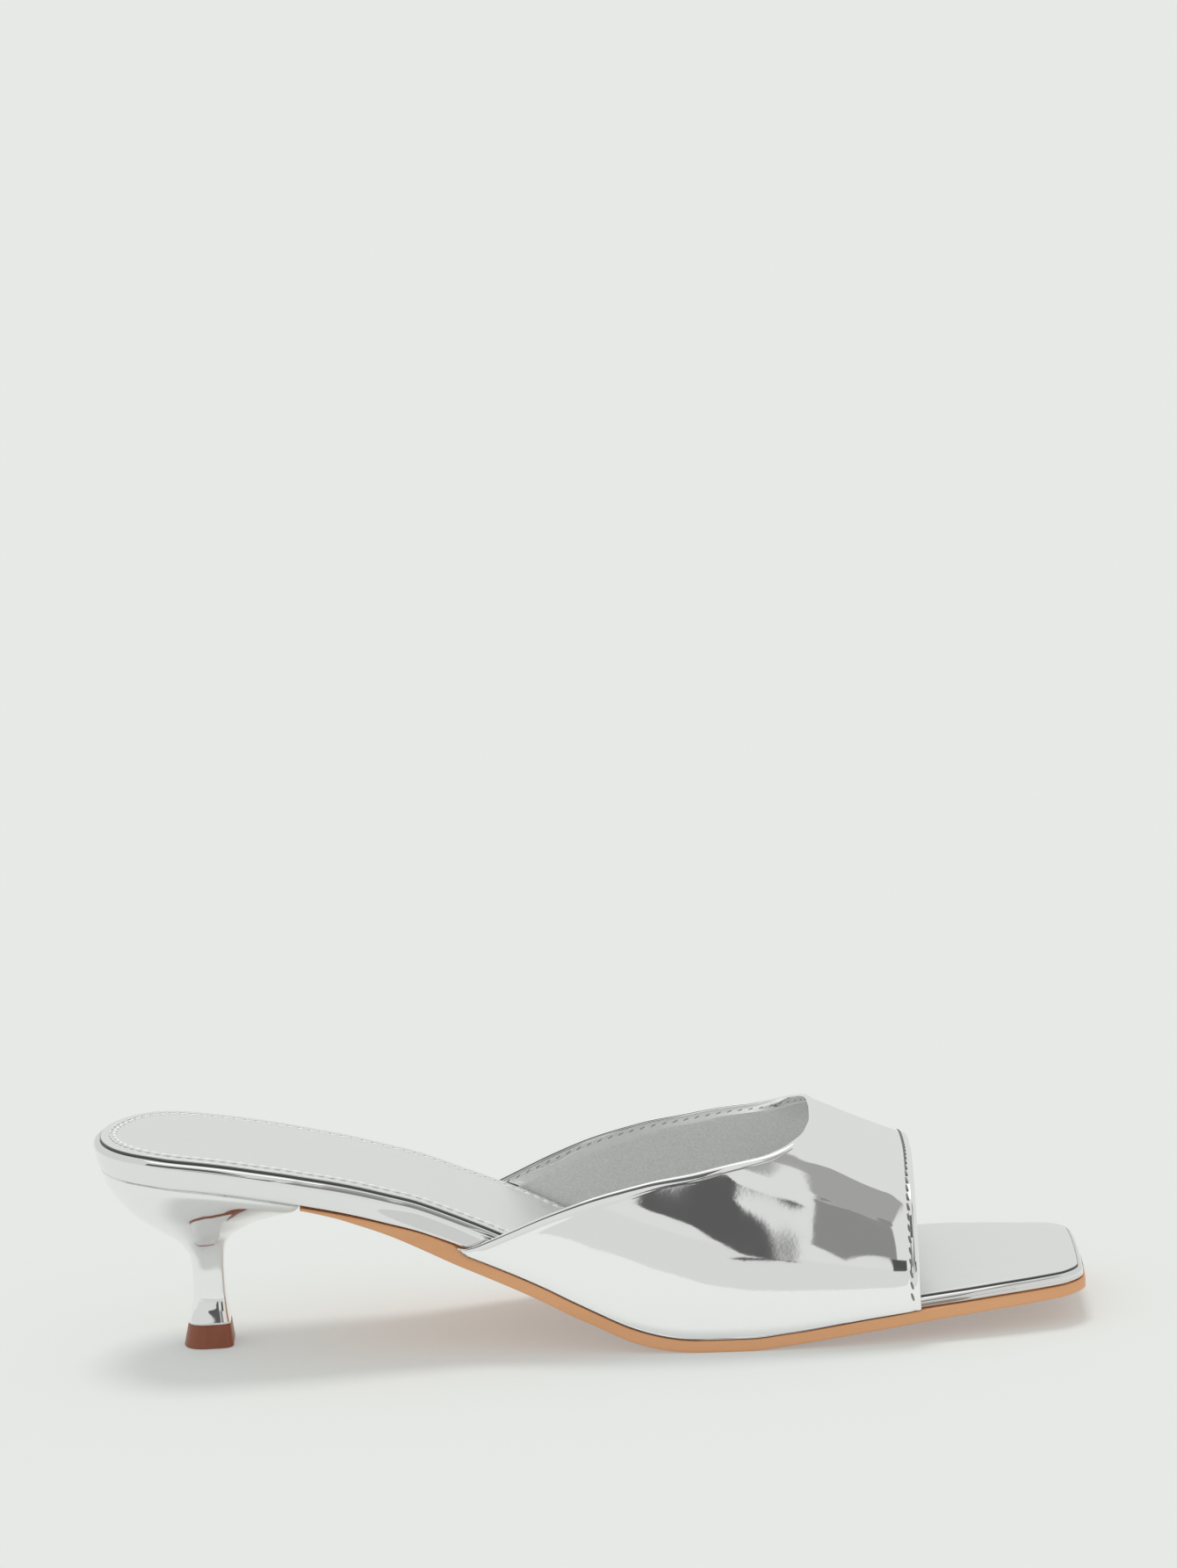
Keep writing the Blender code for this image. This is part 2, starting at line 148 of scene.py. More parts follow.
# The board thins from the heel's thickness to the toe's, and the sock on it thins a little
BOARD = [
    # place, share of the way to the toe board, sock share
    (0.000, 0.00, 1.00),
    (0.330, 0.00, 1.00),
    (0.400, 0.02, 1.00),
    (0.500, 0.25, 0.95),
    (0.600, 0.75, 0.80),
    (0.680, 1.00, 0.70),
    (1.000, 1.00, 0.70),
]

# Height of the last's ridge over the floor, as a share of the instep height
RIDGE = [
    # place, height share
    (0.365, 1.520),
    (0.4375, 1.480),
    (0.500, 1.420),
    (0.5625, 1.327),
    (0.6375, 1.190),
    (0.6875, 1.085),
    (0.733, 1.000),
    (0.783, 0.888),
    (0.829, 0.792),
    (0.845, 0.759),
]

# The topline, from the outsole's edge up to the throat
TOPLINE = [
    # rise around the section, place
    (0.000, 0.365),
    (0.110, 0.4154),
    (0.222, 0.471),
    (0.299, 0.517),
    (0.363, 0.564),
    (0.418, 0.614),
    (0.480, 0.658),
    (0.530, 0.686),
    (0.600, 0.709),
    (0.686, 0.724),
    (0.820, 0.7315),
    (1.000, 0.733),
]

# The heel from its top to its foot: shares of the cup's reach and width, and of the stem
HEEL_FORM = [
    # level, rear, front, width, stem, rear height, front height, roundness
    (0.00, 1.000, 1.000, 1.000, 0.00, 1.000, 1.000, 0.00),
    (0.06, 0.985, 0.965, 0.985, 0.00, 0.961, 0.976, 0.02),
    (0.12, 0.968, 0.918, 0.960, 0.00, 0.925, 0.955, 0.05),
    (0.24, 0.850, 0.754, 0.843, 0.00, 0.808, 0.905, 0.30),
    (0.36, 0.669, 0.570, 0.655, 0.00, 0.686, 0.833, 0.60),
    (0.48, 0.398, 0.335, 0.400, 0.30, 0.587, 0.743, 0.85),
    (0.60, 0.114, 0.107, 0.143, 0.80, 0.489, 0.654, 1.00),
    (0.70, 0.004, 0.012, 0.026, 1.00, 0.391, 0.543, 1.00),
    (0.78, 0.000, 0.000, 0.000, 0.97, 0.312, 0.380, 1.00),
    (0.86, 0.000, 0.000, 0.000, 0.98, 0.205, 0.225, 1.00),
    (0.94, 0.000, 0.000, 0.000, 1.08, 0.100, 0.105, 1.00),
    (1.00, 0.000, 0.000, 0.000, 1.28, 0.000, 0.000, 1.00),
]
STEM_RAKE = 0.0018
TOP_PIECE_FLARE = 0.24
TOP_PIECE_EDGE = 0.0005
TOP_PIECE_RIM = 0.00015
TOP_PIECE_UNDER = 0.0012
STEM_POINTS = 60
STEM_REAR_POWER = 2.3
STEM_FRONT_POWER = 5.0

# Leather work, in metres unless a share, an angle or a count
OUTLINE_STEP = 0.0009
UPPER_COLUMNS = 361
LINING = 0.0003
FOLD_WIDTH = 0.0017
FOLD_RISE = 0.00005
FOLD_ROLL = 0.0014
FRONT_ROLL = 0.0007
FEATHER_ROLL = 0.00040
FEATHER_REACH = 0.0032
FOLD_STEP = 0.00025
TURN_IN = 0.0027
FRONT_BEND = 0.00045
FRONT_BEND_REACH = 0.0065
FRONT_TURN_IN = 0.0050
FRONT_STEP = 0.00010
FRONT_STEP_WIDTH = 0.0006
TOP_QUIET, TOP_FADE = 0.0012, 0.002
FRONT_QUIET, FRONT_FADE = 0.003, 0.003
SEAM_INSET = 0.0020
SEAM_DEPTH = 0.00028
SEAM_WIDTH = 0.00055
STITCH_PITCH = 0.0028
STITCH_LENGTH = 0.0021
STITCH_RADIUS = 0.00030
STITCH_SLANT = 16
STITCH_FLATNESS = 0.8
SEAM_STITCH_DEPTH = 0.6
SEAM_BEND_SHARE = 0.48
INNER_SEAM_INSET = 0.0015
INNER_SEAM_LIFT = 0.00002
INNER_STITCH_LENGTH = STITCH_LENGTH * 0.7
INNER_STITCH_RADIUS = STITCH_RADIUS * 0.55
SOCK_INSET = 0.0013
SOCK_EDGE = 0.0005
# How far up the sock's side the ring of painted gap shade reaches
SOCK_EDGE_SHARE = 0.64
SOCK_SEAM = 0.0048
SEAM_END = 0.66
SOCK_SEAM_GAP = 0.0011
SOCK_BORDER = 0.0085
SOCK_MIDDLE = 0.02
SOCK_CROWN = 0.00025
SOCK_CROWN_REACH = 0.006
# How far the ring of painted gap shade stands out from the sock's side
SOCK_SHADE_LIFT = 0.00008
SOCK_STITCH_LENGTH = 0.0018
SOCK_STITCH_LIFT = 0.00020
SOCK_STITCH_RADIUS = 0.00042
SOCK_SECOND_RADIUS = 0.00024
LAST_SOCK_STITCH = 0.60
SOCK_STITCH_PITCH = 0.0027
SOCK_GROOVE = 0.00030
SOCK_GROOVE_WIDTH = 0.0005
SOCK_SECOND_GROOVE = 0.00008
SOCK_SECOND_WIDTH = 0.0003
SOCK_UNDER = 0.0011
SOCK_UNDER_INSET = 0.003
SEAM_FADE = 0.05
LIP_RADIUS = 0.0014
LIP_FLATNESS = 0.75
LIP_SHARE = 0.55
LIP_DROP = 0.0004
BOARD_UNDER = 0.004
BOARD_EDGE = 0.0002
BOARD_HEEL_END = 0.34
BOARD_HEEL_FADE = 0.16
OUTSOLE_EDGE = 0.0007
OUTSOLE_RIM = 0.0012
LET_IN_STEP = 0.0006
RISE_LENGTH = INSTEP_HEIGHT * 1.45

# Creases pressed into the vamp: soft troughs and ridges between two points of its surface
CREASES = [
    # start place, start rise, end place, end rise, depth, half width, wave
    (0.722, 0.425, 0.808, 0.372, 0.00002, 0.00045, 0.0020),
    (0.717, 0.570, 0.812, 0.520, 0.00012, 0.00160, 0.0015),
    (0.720, 0.555, 0.812, 0.505, -0.00010, 0.00200, 0.0015),
]
RIPPLE_PLACES = (0.604, 0.668)
RIPPLE_COUNT = 9
RIPPLE_DEPTH = 0.00004
RIPPLE_REACH = 0.0024

# Camera: where it stands, how it is turned in degrees, and its focal length in millimetres
CAMERA_PLACE = (0.0, -1.6495, 0.43627)
CAMERA_TURN = (79.631, 3.2019, -0.7992)
FOCAL_LENGTH = 157.714

# Light
SKY = (0.70, 0.71, 0.695)
FLOOR_COLOUR = (0.56, 0.545, 0.515)
FLOOR_GLOW = (0.226, 0.259, 0.270)
LAMP_STRENGTH = 1.04
LAMP_SPREAD = 20
LAMP_FROM = (-0.03, 0.33, 1.0)


def smooth(table, place, column):
    """One column of a table at an array of places, along curves that never overshoot."""
    rows = np.array(table, float)
    places, values = rows[:, 0], rows[:, column]
    slopes = np.diff(values) / np.diff(places)
    product = slopes[:-1] * slopes[1:]
    total = slopes[:-1] + slopes[1:]
    level = product <= 0
    bends = np.where(level, 0.0, 2 * product / np.where(level, 1.0, total))
    tangents = np.concatenate([slopes[:1], bends, slopes[-1:]])
    place = np.clip(np.asarray(place, float), places[0], places[-1])
    k = np.clip(np.searchsorted(places, place, side="right") - 1, 0, len(places) - 2)
    span = places[k + 1] - places[k]
    t = (place - places[k]) / span
    height = (2 * t**3 - 3 * t**2 + 1) * values[k] + (3 * t**2 - 2 * t**3) * values[k + 1]
    lean = (t**3 - 2 * t**2 + t) * tangents[k] + (t**3 - t**2) * tangents[k + 1]
    return height + lean * span


def to_x(place):
    return (place - 0.5) * LENGTH


def to_place(x):
    return x / LENGTH + 0.5


def plan_half(x, side, grow=0.0):
    """Half width of the footbed's plan, inner side 1 or outer side 2, grown all round."""
    half = smooth(OUTLINE, to_place(x), side) * BALL_WIDTH / 2 + grow
    back = np.maximum(to_x(HEEL_CENTRE) - x, 0) / (HEEL_CENTRE * LENGTH + grow)
    half = half * np.sqrt(np.maximum(0, 1 - back**2))
    corner = TOE_CORNER + grow
    past = np.maximum(x - (LENGTH / 2 - TOE_MARGIN + grow - corner), 0)
    return half - (corner - np.sqrt(np.maximum(0, corner**2 - past**2)))


def bowed(x, y):
    """X of a plan point once the toe's end is bowed forward in its middle."""
    near_toe = np.clip((x - LENGTH / 2 + TOE_BOW_REACH) / TOE_BOW_REACH, 0, 1) ** 2
    before = np.minimum(x, LENGTH / 2 - TOE_CORNER)
    side = np.where(y < 0, -plan_half(before, 1), plan_half(before, 2))
    return x + TOE_BOW * near_toe * (1 - (y / side) ** 2)


def sole_height(x):
    place = to_place(x)
    return SEAT_HEIGHT * smooth(SOLE_LINE, place, 1) + TOE_SPRING * smooth(SOLE_LINE, place, 2)


def seat_height(x):
    return sole_height(x) + OUTSOLE_THICKNESS * smooth(SOLE_LINE, to_place(x), 3)


def ledge_height(x):
    return seat_height(x) - REBATE_DEPTH * smooth(SOLE_EDGE, to_place(x), 3)


def board_top(x):
    thinning = smooth(BOARD, to_place(x), 1)
    return seat_height(x) + GAP + HEEL_BOARD + (TOE_BOARD - HEEL_BOARD) * thinning


def sock_top(x):
    return board_top(x) + GAP + SOCK_THICKNESS * smooth(BOARD, to_place(x), 2)


def unit(vectors):
    return vectors / np.maximum(np.linalg.norm(vectors, axis=-1, keepdims=True), 1e-12)


def ease(t):
    t = np.clip(t, 0, 1)
    return t * t * (3 - 2 * t)


def add_mesh(name, points, faces, finish, body="root"):
    mesh = bpy.data.meshes.new(name)
    mesh.from_pydata(np.asarray(points, float).reshape(-1, 3).tolist(), [], faces)
    mesh.validate()
    mesh.update()
    mesh.shade_smooth()
    piece = bpy.data.objects.new(name, mesh)
    mesh.materials.append(finish)
    bpy.context.scene.collection.objects.link(piece)
    if body:
        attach(piece, body)
    return piece


def grid_faces(rows, columns, wrap_rows=False, wrap_columns=False, start=0):
    """Quads over a grid of points that is stored row by row."""
    faces = []
    for r in range(rows if wrap_rows else rows - 1):
        following = (r + 1) % rows
        for c in range(columns if wrap_columns else columns - 1):
            beside = (c + 1) % columns
            faces.append((
                start + r * columns + c, start + r * columns + beside,
                start + following * columns + beside, start + following * columns + c,
            ))
    return faces


def capped_faces(rows, columns):
    """Quads of a tube of closed rings, with a face over each end."""
    faces = grid_faces(rows, columns, wrap_columns=True)
    return faces + [tuple(range(columns)), tuple(range((rows - 1) * columns, rows * columns))]


def outline_curve():
    """The closed plan of the footbed, evenly spaced, counter-clockwise from above."""
    toe = LENGTH / 2 - TOE_MARGIN - TOE_CORNER
    reach = HEEL_CENTRE * LENGTH
    heel = to_x(HEEL_CENTRE) - reach * np.cos(np.linspace(0, math.pi / 2, 60))
    middle = np.linspace(heel[-1], toe, 400)[1:-1]
    turn = toe + TOE_CORNER * np.sin(np.linspace(0, math.pi / 2, 30))
    x = np.concatenate([heel, middle, turn])
    inner = np.stack([x, -plan_half(x, 1)], -1)
    outer = np.stack([x, plan_half(x, 2)], -1)
    loop = np.concatenate([inner, outer[::-1]])
    keep = np.linalg.norm(np.diff(loop, axis=0, append=loop[:1]), axis=1) > 1e-7
    loop = loop[keep]
    loop = np.concatenate([loop, loop[:1]])
    along = np.concatenate([[0], np.cumsum(np.linalg.norm(np.diff(loop, axis=0), axis=1))])
    count = int(along[-1] / OUTLINE_STEP)
    even = np.linspace(0, along[-1], count, endpoint=False)
    x, y = (np.interp(even, along, loop[:, k]) for k in (0, 1))
    return np.stack([bowed(x, y), y], -1)


def inward(loop):
    """Unit normals that point into a counter-clockwise plan curve, eased along it."""
    along = np.roll(loop, -2, 0) - np.roll(loop, 2, 0)
    return unit(np.stack([-along[:, 1], along[:, 0]], -1))


def spine(loop):
    """Where each point of the plan meets the shoe's middle line when the rings close up."""
    low, high = to_x(HEEL_CENTRE), LENGTH / 2 - BALL_WIDTH * 0.3
    x = np.clip(loop[:, 0], low, high)
    middle = (plan_half(x, 2) - plan_half(x, 1)) / 2
    return np.stack([x, middle], -1)


def spread(loop, inset, fill=0.0):
    """The plan drawn in by an inset along its normals, then closed up onto the middle line."""
    drawn = loop + inward(loop) * inset
    return drawn + (spine(loop) - drawn) * fill


def ring_piece(name, loop, rows, finish):
    """A closed piece of rings round the plan: each row gives inset, fill and height there."""
    rings = []
    for inset, fill, height in rows:
        plan = spread(loop, inset, fill)
        rings.append(np.concatenate([plan, height(plan[:, 0])[:, None]], -1))
    points = np.concatenate(rings)
    return add_mesh(name, points, grid_faces(len(rings), len(loop), wrap_columns=True), finish)


def above(base, lift):
    return lambda x: base(x) + lift


def between(low, high, share):
    return lambda x: low(x) + (high(x) - low(x)) * share


def make_footbed(finish):
    """The wrapped board: a flat band below, and a rolled lip round the sock."""
    loop = outline_curve()
    bottom = above(seat_height, GAP)
    rows = [(BOARD_UNDER, fill, bottom) for fill in (0.97, 0.5, 0.0)]
    at_heel = ease((BOARD_HEEL_END - to_place(loop[:, :1])) / BOARD_HEEL_FADE)
    lean = BOARD_LEAN * 0.75 * at_heel
    rows += [(lean + BOARD_EDGE, 0.0, bottom), (lean, 0.0, above(seat_height, GAP * 2))]
    lip_height = between(board_top, sock_top, LIP_SHARE)
    lip_base = lambda x: np.maximum(seat_height(x) + 2 * GAP, board_top(x) - LIP_DROP)
    for share in np.linspace(0.1, 0.95, 9):
        bulge = BOARD_BULGE * at_heel * math.sin(math.pi / 2 * share**0.8)
        inset = lean * (1 - share) + BOARD_EDGE * ease(share * 1.2) - bulge
        rows.append((inset, 0.0, between(above(seat_height, GAP * 2), lip_base, share)))
    for angle in range(0, 181, 15):
        turn = math.radians(angle)
        bulge = BOARD_BULGE * at_heel * (1 - angle / 180)
        inset = LIP_RADIUS * (1 - math.cos(turn)) * LIP_FLATNESS - bulge
        lift = math.sin(turn) if angle <= 90 else 0.72 + 0.28 * math.sin(turn)
        rows.append((inset, 0.0, between(lip_base, lip_height, lift)))
    rows += [(BOARD_UNDER, fill, board_top) for fill in (0.0, 0.5, 0.97)]
    cover = ring_piece("footbed_cover", loop, rows, finish)
    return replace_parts(cover, "footbed")


def sock_rise(inset):
    """How the sock's face rises from its edge: the grooves of the seams and a soft crown."""
    groove = SOCK_GROOVE * np.exp(-(((inset - SOCK_SEAM) / SOCK_GROOVE_WIDTH) ** 2))
    beside = (inset - SOCK_SEAM + SOCK_SEAM_GAP) / SOCK_SECOND_WIDTH
    second = SOCK_SECOND_GROOVE * np.exp(-(beside**2))
    crown = SOCK_CROWN * ease((inset - SOCK_SEAM) / SOCK_CROWN_REACH)
    return crown - groove - second


def seamed(lift, plain):
    """The sock's face with its seam, which ends under the vamp."""
    sewn = lambda x: ease((SEAM_END - to_place(x)) / SEAM_FADE)
    return lambda x: sock_top(x) + plain + (lift - plain) * sewn(x)


def make_sock(finish, gap_shade_finish):
    """The sock inside the lip, with a border seam, and a dark ring round its side that paints the
    shade of the gap under the lip.
    """
    loop = outline_curve()
    low = lambda x: sock_top(x) - SOCK_UNDER * smooth(BOARD, to_place(x), 2)
    rows = [(BOARD_UNDER, 0.97, low), (BOARD_UNDER, 0.5, low), (SOCK_UNDER_INSET, 0.0, low)]
    for angle in range(-90, 91, 15):
        turn = math.radians(angle)
        inset = SOCK_INSET + SOCK_EDGE * (1 - math.cos(turn))
        rows.append((inset, 0.0, between(low, sock_top, 0.5 + 0.5 * math.sin(turn))))
    crown = float(sock_rise(SOCK_MIDDLE))
    for inset in np.arange(SOCK_INSET + 0.0008, SOCK_BORDER, 0.00022):
        plain = crown * ease((inset - SOCK_SEAM) / SOCK_CROWN_REACH)
        rows.append((inset, 0.0, seamed(float(sock_rise(inset)), float(plain))))
    for fill in (0.1, 0.22, 0.35, 0.5, 0.65, 0.8, 0.92, 1.0):
        rows.append((SOCK_BORDER, fill, above(sock_top, crown)))
    # A dark ring round the sock's side, part way up: painted shade of the narrow gap between the
    # sock and the board's lip
    side = SOCK_INSET - SOCK_SHADE_LIFT
    rim = [(SOCK_UNDER_INSET, 0.0, low), (side, 0.0, between(low, sock_top, 0.05)),
           (side, 0.0, between(low, sock_top, SOCK_EDGE_SHARE)),
           (SOCK_UNDER_INSET, 0.0, between(low, sock_top, 0.5))]
    ring_piece("sock_gap_painted_shade", loop, rim, gap_shade_finish)
    cover = ring_piece("sock_cover", loop, rows, finish)
    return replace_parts(cover, "insole_sock")


# Where the outsole's flat faces are divided across, as shares of their width
SPANS = (0.05, 0.15, 0.3, 0.5, 0.7, 0.85, 0.95)


def make_outsole(finish):
    """The outsole with its rounded edges, let in along the upper's edge."""
    start = to_x(HEEL_BREAST) + GAP
    upper_rear, upper_front = to_x(UPPER_START), to_x(UPPER_FRONT)
    toe = LENGTH / 2
    corner = TOE_CORNER + TOE_MARGIN
    turn = toe - corner + corner * np.sin(np.linspace(0, math.pi / 2, 14))
    x = np.concatenate([np.arange(start, toe - corner - 0.0004, 0.0008), turn])
    place = to_place(x)
    let_in = ease((x - upper_rear) / LET_IN_STEP + 1) * ease((upper_front - x) / LET_IN_STEP + 1)
    grow = UPPER_OUT * smooth(SOLE_EDGE, place, 1) + TOE_MARGIN * smooth(SOLE_EDGE, place, 2)
    bottom = sole_height(x)
    seat = seat_height(x)
    ledge = seat + (ledge_height(x) - seat) * let_in
    edge = np.minimum(OUTSOLE_EDGE, (ledge - bottom) * 0.4)
    section = []
    for angle in range(0, 91, 15):
        lean = math.radians(angle)
        section.append((edge * (1 - math.sin(lean)), bottom + edge * (1 - math.cos(lean))))
    section.append((0 * edge, (ledge + bottom) / 2))
    upper_edge = edge * 0.5
    for angle in range(0, 91, 18):
        lean = math.radians(angle)
        z = ledge - upper_edge * (1 - math.sin(lean))
        section.append((upper_edge * (1 - math.cos(lean)), z))
    inner = [(inset - plan_half(x, 1, grow), z) for inset, z in section]
    outer = [(plan_half(x, 2, grow) - inset, z) for inset, z in section]
    inner += [(GAP - plan_half(x, 1), ledge), (OUTSOLE_RIM - plan_half(x, 1), seat)]
    outer += [(plan_half(x, 2) - GAP, ledge), (plan_half(x, 2) - OUTSOLE_RIM, seat)]
    spans = []
    for k, order in ((-1, SPANS), (0, SPANS[::-1])):
        (near, z), (far, _) = inner[k], outer[k]
        spans.append([(near + (far - near) * t, z) for t in order])
    ring = inner + spans[0] + outer[::-1] + spans[1]
    points = np.stack([np.stack([bowed(x, y), y, z], -1) for y, z in ring], 1)
    piece = add_mesh("outsole_leather", points, capped_faces(*points.shape[:2]), finish)
    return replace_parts(piece, "outsole")


def upper_point(x, rise):
    """A point of the upper's outside: rise runs 0 to 2, from inner feather edge to outer."""
    turn = rise * math.pi / 2
    across, up = np.abs(np.cos(turn)), np.abs(np.sin(turn))
    reach = (across**SECTION_POWER + up**SECTION_POWER) ** (-1 / SECTION_POWER)
    half = np.where(rise < 1, plan_half(x, 1), plan_half(x, 2)) + UPPER_OUT
    foot = ledge_height(x) + GAP
    ridge = INSTEP_HEIGHT * smooth(RIDGE, to_place(x), 1)
    y = np.where(rise < 1, -1.0, 1.0) * half * across * reach
    return np.stack([x + 0 * rise, y, foot + (ridge - foot) * up * reach], -1)


def upper_normal(x, rise):
    step_x, step_rise = LENGTH * 0.0005, 0.002
    low, high = np.maximum(rise - step_rise, 0), np.minimum(rise + step_rise, 2)
    along = upper_point(x + step_x, rise) - upper_point(x - step_x, rise)
    around = upper_point(x, high) - upper_point(x, low)
    return -unit(np.cross(around, along))


def topline_x(rise):
    return to_x(smooth(TOPLINE, np.minimum(rise, 2 - rise), 1))


def front_x(rise):
    return to_x(UPPER_FRONT + FRONT_ADVANCE * np.sin(rise * math.pi / 2) ** 3)


def crease_lift(x, rise):
    """Height of the pressed creases and of the small ripples under the topline."""
    point = upper_point(x, rise)
    lift = np.zeros(x.shape)
    for start_place, start_rise, end_place, end_rise, depth, width, wave in CREASES:
        start = upper_point(np.array(to_x(start_place)), np.array(start_rise))
        end = upper_point(np.array(to_x(end_place)), np.array(end_rise))
        line = end - start
        length = np.linalg.norm(line)
        share = np.clip(((point - start) @ line) / length**2, -0.2, 1.2)
        away = point - (start + share[..., None] * line)
        sideways = np.linalg.norm(away, axis=-1) * np.sign(away[..., 2])
        sideways = sideways - wave * 0.25 * np.sin(share * 9.0 + start_rise * 7)
        fade = ease((share + 0.05) / 0.2) * ease((1.08 - share) / 0.2)
        lift -= depth * fade * np.exp(-((sideways / width) ** 2))
    low, high = to_x(RIPPLE_PLACES[0]), to_x(RIPPLE_PLACES[1])
    span = (x - low) / (high - low)
    below = (rise_of_topline(x) - rise) * RISE_LENGTH
    reach = ease(span * 4) * ease((1 - span) * 4) * ease(1.2 - below / RIPPLE_REACH)
    wave = np.cos(2 * math.pi * span * RIPPLE_COUNT + 2.0 * np.sin(span * 9))
    return lift + RIPPLE_DEPTH * wave * reach * (rise < 1) * (below > 0)


def rise_of_topline(x):
    """The rise at which the inner side's topline passes over x."""
    fine = np.linspace(0, 1, 400)
    return np.interp(to_place(x), smooth(TOPLINE, fine, 1), fine)


def upper_layer(name, finish, outer_depth, inner_depth, top_inset, front_inset, dress):
    """A closed wall between two depths under the upper's outside, with rounded edges.

    The insets say how far its edges stay from the topline and the front edge. `dress` gives
    the outer face its folds and creases.
    """
    rise = np.linspace(0, 2, UPPER_COLUMNS)[:, None]
    top, front = topline_x(rise), front_x(rise)
    ends = upper_point(top, rise), upper_point(front, rise)
    length = np.linalg.norm(ends[1] - ends[0], axis=-1)
    along = unit(ends[1] - ends[0])[:, 0]
    edge = unit(np.gradient(ends[0][:, 0], axis=0))
    slant = np.clip(np.linalg.norm(np.cross(edge, along), axis=-1)[:, None], 0.35, 1)
    radius = (inner_depth - outer_depth) / 2
    rolls = (FOLD_ROLL, FRONT_ROLL) if dress else (radius, radius)
    arc = np.radians(np.arange(0, 181, 22.5))
    first = top_inset / slant / length
    last = 1 - front_inset / length
    round_top = rolls[0] / slant / length
    round_front = rolls[1] / length
    fine = np.concatenate([np.linspace(0, 0.12, 24)[:-1], np.linspace(0.12, 0.88, 60)[:-1],
                           np.linspace(0.88, 1, 24)])
    coarse = np.linspace(1, 0, 60)
    low, high = first + round_top, last - round_front
    outside = low + (high - low) * fine
    inside = low + (high - low) * coarse
    shares = [outside, high + round_front * np.sin(arc[1:-1]), inside,
              low - round_top * np.sin(arc[1:-1])]
    depths = [0 * outside + outer_depth, outer_depth + radius * (1 - np.cos(arc[1:-1])) + 0 * high,
              0 * inside + inner_depth, inner_depth - radius * (1 - np.cos(arc[1:-1])) + 0 * low]
    share, depth = np.concatenate(shares, 1), np.concatenate(depths, 1)
    x = top + (front - top) * share
    full_rise = rise + 0 * share
    normal = upper_normal(x, full_rise)
    flat = (rise < 1e-6) | (rise > 2 - 1e-6)
    normal = np.where(flat[..., None], unit(normal * [1, 1, 0]), normal)
    face = 1 - ease(depth / WALL * 2)
    from_top, from_front = share * length * slant, (1 - share) * length
    lift = dress(x, full_rise, from_top, from_front) * face if dress else 0 * depth
    points = upper_point(x, full_rise) + normal * (lift - depth)[..., None]
    return add_mesh(name, points, capped_faces(*share.shape), finish)


def front_bend(rise):
    """How far the front edge turns in, down both sides but not over the ridge."""
    return FRONT_BEND * ease((0.85 - np.minimum(rise, 2 - rise)) / 0.3)


def leather_dress(x, rise, from_top, from_front):
    """The folded topline, the seam along the front edge, and the creases."""
    fold = FOLD_RISE * ease((FOLD_WIDTH + FOLD_STEP - from_top) / FOLD_STEP)
    seam = np.exp(-(((from_front - SEAM_INSET) / SEAM_WIDTH) ** 2)) * SEAM_DEPTH
    edge = FRONT_STEP * ease((SEAM_INSET - from_front) / FRONT_STEP_WIDTH)
    edge = edge - front_bend(rise) * np.maximum(0, 1 - from_front / FRONT_BEND_REACH) ** 2
    quiet = ease((from_top - TOP_QUIET) / TOP_FADE) * ease((from_front - FRONT_QUIET) / FRONT_FADE)
    point = upper_point(x, rise)
    height = point[..., 2] - ledge_height(x) - GAP
    feather = FEATHER_ROLL * np.maximum(0, 1 - height / FEATHER_REACH) ** 2
    return fold - seam + edge - feather + crease_lift(x, rise) * quiet


def make_upper(leather, lining):
    """The mirror leather and the lining inside it."""
    skin = upper_layer("upper_leather", leather, 0.0, WALL - LINING, 0.0, 0.0, leather_dress)
    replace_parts(skin, "upper")
    inside = upper_layer(
        "upper_lining", lining, WALL - LINING * 1.6, WALL, TURN_IN, FRONT_TURN_IN, None,
    )


def stitch_row(name, places, tangents, normals, finish, length, radius, slant=0.0):
    """Short rounded threads at the given points, half sunk in the leather."""
    turns = np.linspace(0, 2 * math.pi, 8, endpoint=False)
    stops = np.radians(np.arange(-90, 91, 30))
    along = np.sin(stops) * length / 2
    thick = radius * np.cos(stops) ** 0.6
    points, faces = [], []
    for n, (place, tangent, normal) in enumerate(zip(places, tangents, normals)):
        normal = normal / np.linalg.norm(normal)
        tangent = unit(tangent - normal * (tangent @ normal))
        side = np.cross(normal, tangent)
        lean = math.radians(slant)
        ahead = tangent * math.cos(lean) + side * math.sin(lean)
        across = np.cross(normal, ahead)
        for distance, width in zip(along, thick):
            ring = place + ahead * distance
            aside = np.cos(turns)[:, None] * across * width
            lift = np.sin(turns)[:, None] * normal * width * STITCH_FLATNESS
            points.append(ring + (aside + lift))
        start = n * len(along) * len(turns)
        faces += grid_faces(len(along), len(turns), wrap_columns=True, start=start)
    piece = add_mesh(name, np.concatenate(points), faces, finish)
    return piece


def evenly(path, pitch, lead=0.0):
    """Points and directions every pitch along a path of points."""
    along = np.concatenate([[0], np.cumsum(np.linalg.norm(np.diff(path, axis=0), axis=1))])
    stops = np.arange(lead, along[-1] - lead, pitch)
    at = lambda s: np.stack([np.interp(s, along, path[:, k]) for k in range(3)], -1)
    return at(stops), unit(at(stops + 0.0004) - at(stops - 0.0004))


